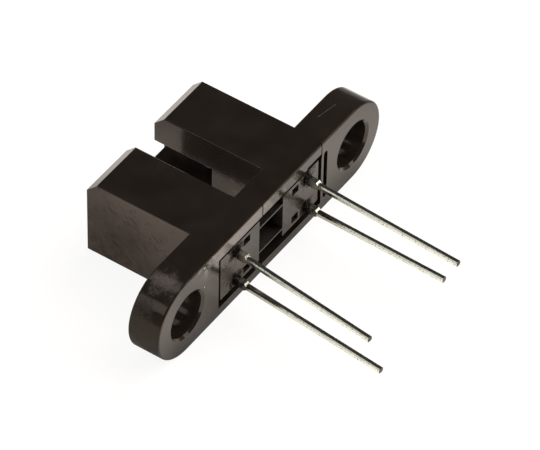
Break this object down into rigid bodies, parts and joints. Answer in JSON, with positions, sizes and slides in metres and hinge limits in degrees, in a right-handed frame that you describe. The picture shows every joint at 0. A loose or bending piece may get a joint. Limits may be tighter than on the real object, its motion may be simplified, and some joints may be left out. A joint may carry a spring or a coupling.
{
  "type": "slotted optical switch",
  "caption": "Moulded fork with a light source and a light sensor facing each other across a slot, a flange with screw holes and tinned solder leads.",
  "frame": {"origin": "on the mounting face, midway between the two screw holes and midway between the two broad faces", "axes": "+X along the flange towards the sensor's end, +Y from the mounting face to the arm tips, so the leads run along -Y, and +Z out of the upper broad face; the part lies on its lower broad face"},
  "size_m": [0.0252, 0.0225, 0.0062],
  "materials": {
    "housing_plastic": "near-black moulded plastic, satin",
    "plug_plastic": "near-black moulded plastic, a little rougher",
    "source_resin": "tinted clear epoxy",
    "sensor_resin": "dark infrared-pass epoxy",
    "tinned_lead": "bright tin plate",
    "source_chip": "sawn semiconductor",
    "sensor_chip": "polished silicon",
    "gold_wire": "drawn gold"
  },
  "bodies": {
    "root": {"housing": "housing_plastic", "base_plug": "plug_plastic", "source_package": "source_resin", "sensor_package": "sensor_resin", "anode_lead": "tinned_lead", "cathode_lead": "tinned_lead", "collector_lead": "tinned_lead", "emitter_lead": "tinned_lead", "source_chip": "source_chip", "sensor_chip": "sensor_chip", "source_wire": "gold_wire", "sensor_wire": "gold_wire"}
  },
  "joints": []
}
